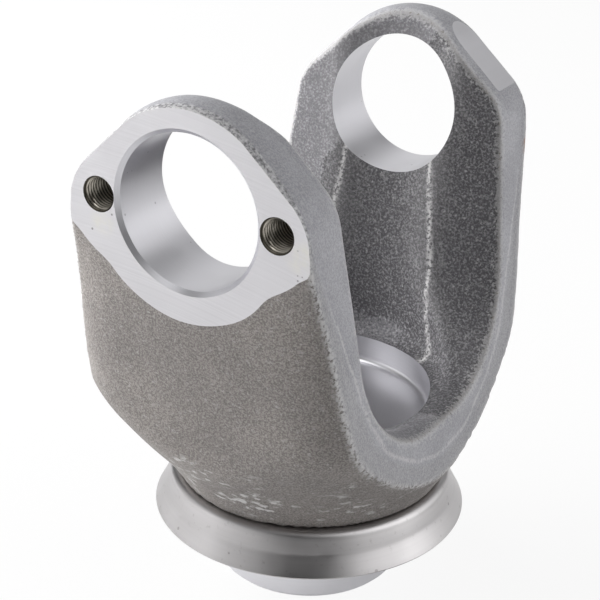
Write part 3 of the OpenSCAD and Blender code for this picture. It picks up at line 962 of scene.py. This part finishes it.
# %% Floor: a share of it is plain white, seen by the camera and, less so, in reflections
PALE_SHARE, GLOSS_SHARE = 0.91, 0.30
floor_mesh = bpy.data.meshes.new("studio floor")
reach = 3.0
corners = [(-reach, -reach, 0), (reach, -reach, 0), (reach, reach, 0), (-reach, reach, 0)]
floor_mesh.from_pydata(corners, [], [(0, 1, 2, 3)])
floor = bpy.data.objects.new("studio floor", floor_mesh)
bpy.context.scene.collection.objects.link(floor)
pale = bpy.data.materials.new("pale floor")
pale.use_nodes = True
tree = pale.node_tree
tree.nodes["Principled BSDF"].inputs["Base Color"].default_value = (0.8, 0.8, 0.8, 1)
tree.nodes["Principled BSDF"].inputs["Roughness"].default_value = 0.9
seen = node(tree, "ShaderNodeLightPath")
glow = node(tree, "ShaderNodeEmission", Strength=1.0)
share = maths(tree, "ADD", maths(tree, "MULTIPLY", seen.outputs["Is Camera Ray"], PALE_SHARE),
              maths(tree, "MULTIPLY", seen.outputs["Is Glossy Ray"], GLOSS_SHARE), clamp=True)
blend = node(tree, "ShaderNodeMixShader")
tree.links.new(share, blend.inputs["Fac"])
tree.links.new(tree.nodes["Principled BSDF"].outputs[0], blend.inputs[1])
tree.links.new(glow.outputs[0], blend.inputs[2])
tree.links.new(blend.outputs[0], tree.nodes["Material Output"].inputs["Surface"])
floor_mesh.materials.append(pale)
print("floor:", 2 * reach, "m wide")

# %% A room with glows that only reflections see
def way(azimuth, elevation):
    """Unit vector towards an azimuth and elevation. Azimuth 0 is in front, 90 on the right."""
    a, e = math.radians(azimuth), math.radians(elevation)
    return math.sin(a) * math.cos(e), -math.cos(a) * math.cos(e), math.sin(e)


ROOM_LIGHT = 0.05
# Azimuth, elevation and strength of each glow
GLOWS = ((-150, 10, 0.9), (-70, 10, 0.9), (-30, 10, 0.75), (90, 10, 0.95), (130, 10, 1.2),
         (90, 50, 1.25), (180, 50, 0.3), (0, 88, 2.6))
world = bpy.data.worlds.new("studio")
bpy.context.scene.world = world
world.use_nodes = True
tree = world.node_tree
sky = node(tree, "ShaderNodeTexCoord").outputs["Generated"]
glow = 0.0
for azimuth, elevation, strength in GLOWS:
    facing = vector_maths(tree, "DOT_PRODUCT", sky, way(azimuth, elevation))
    glow = maths(tree, "ADD", ramp(tree, facing, 0.75, 1.0, 0.0, strength), glow)
seen = node(tree, "ShaderNodeLightPath")
gloss = maths(tree, "ADD", seen.outputs["Is Glossy Ray"], seen.outputs["Is Transmission Ray"], clamp=True)
level = maths(tree, "ADD", maths(tree, "MULTIPLY", gloss, glow), ROOM_LIGHT)
level = maths(tree, "MAXIMUM", level, seen.outputs["Is Camera Ray"])
tree.links.new(level, tree.nodes["Background"].inputs["Strength"])
tree.nodes["Background"].inputs["Color"].default_value = (1, 1, 1, 1)
print("glows:", len(GLOWS))

# %% Lamps
LAMP_DISTANCE, LAMP_SIZE, AIM_Z = 1.5, 1.2, 0.1


def softbox(name, azimuth, elevation, power):
    """A square area lamp that faces the part. The room already holds its reflection."""
    lamp = bpy.data.lights.new(name, "AREA")
    lamp.size, lamp.energy = LAMP_SIZE, power
    item = bpy.data.objects.new(name, lamp)
    place = Vector(way(azimuth, elevation)) * LAMP_DISTANCE
    item.location = place + Vector((0, 0, AIM_Z))
    item.rotation_euler = place.to_track_quat("Z", "Y").to_euler()
    item.visible_glossy = False
    bpy.context.scene.collection.objects.link(item)


softbox("left softbox", -60, 18, 36)
softbox("far left softbox", -92, 16, 36)
softbox("right softbox", 120, 20, 14)
print("lamps:", [light.name for light in bpy.data.lights])

# %% Camera, as fitted to the photograph: angles in degrees and distances in metres
AZIMUTH, ELEVATION, ROLL = 30.25, 24.13, 1.09
DISTANCE, SIDEWAYS, TARGET_Z = 0.53514, -0.0047, 0.1013
FOCAL_PIXELS, PICTURE_PIXELS, SENSOR = 1536.4, 600, 36
back = Vector(way(AZIMUTH, ELEVATION))
side = Vector((math.cos(math.radians(AZIMUTH)), math.sin(math.radians(AZIMUTH)), 0))
up = back.cross(side)
roll = math.radians(ROLL)
right_axis = side * math.cos(roll) + up * math.sin(roll)
up_axis = up * math.cos(roll) - side * math.sin(roll)
spot = Vector((0, 0, TARGET_Z)) + side * SIDEWAYS + back * DISTANCE
lens = bpy.data.cameras.new("camera")
lens.sensor_width = SENSOR
lens.lens = FOCAL_PIXELS / PICTURE_PIXELS * SENSOR
camera = bpy.data.objects.new("camera", lens)
camera.matrix_world = Matrix.Translation(spot) @ Matrix((right_axis, up_axis, back)).transposed().to_4x4()
bpy.context.scene.collection.objects.link(camera)
bpy.context.scene.camera = camera
bpy.context.scene.view_settings.view_transform = "Standard"
print("camera at", [round(value, 4) for value in spot])
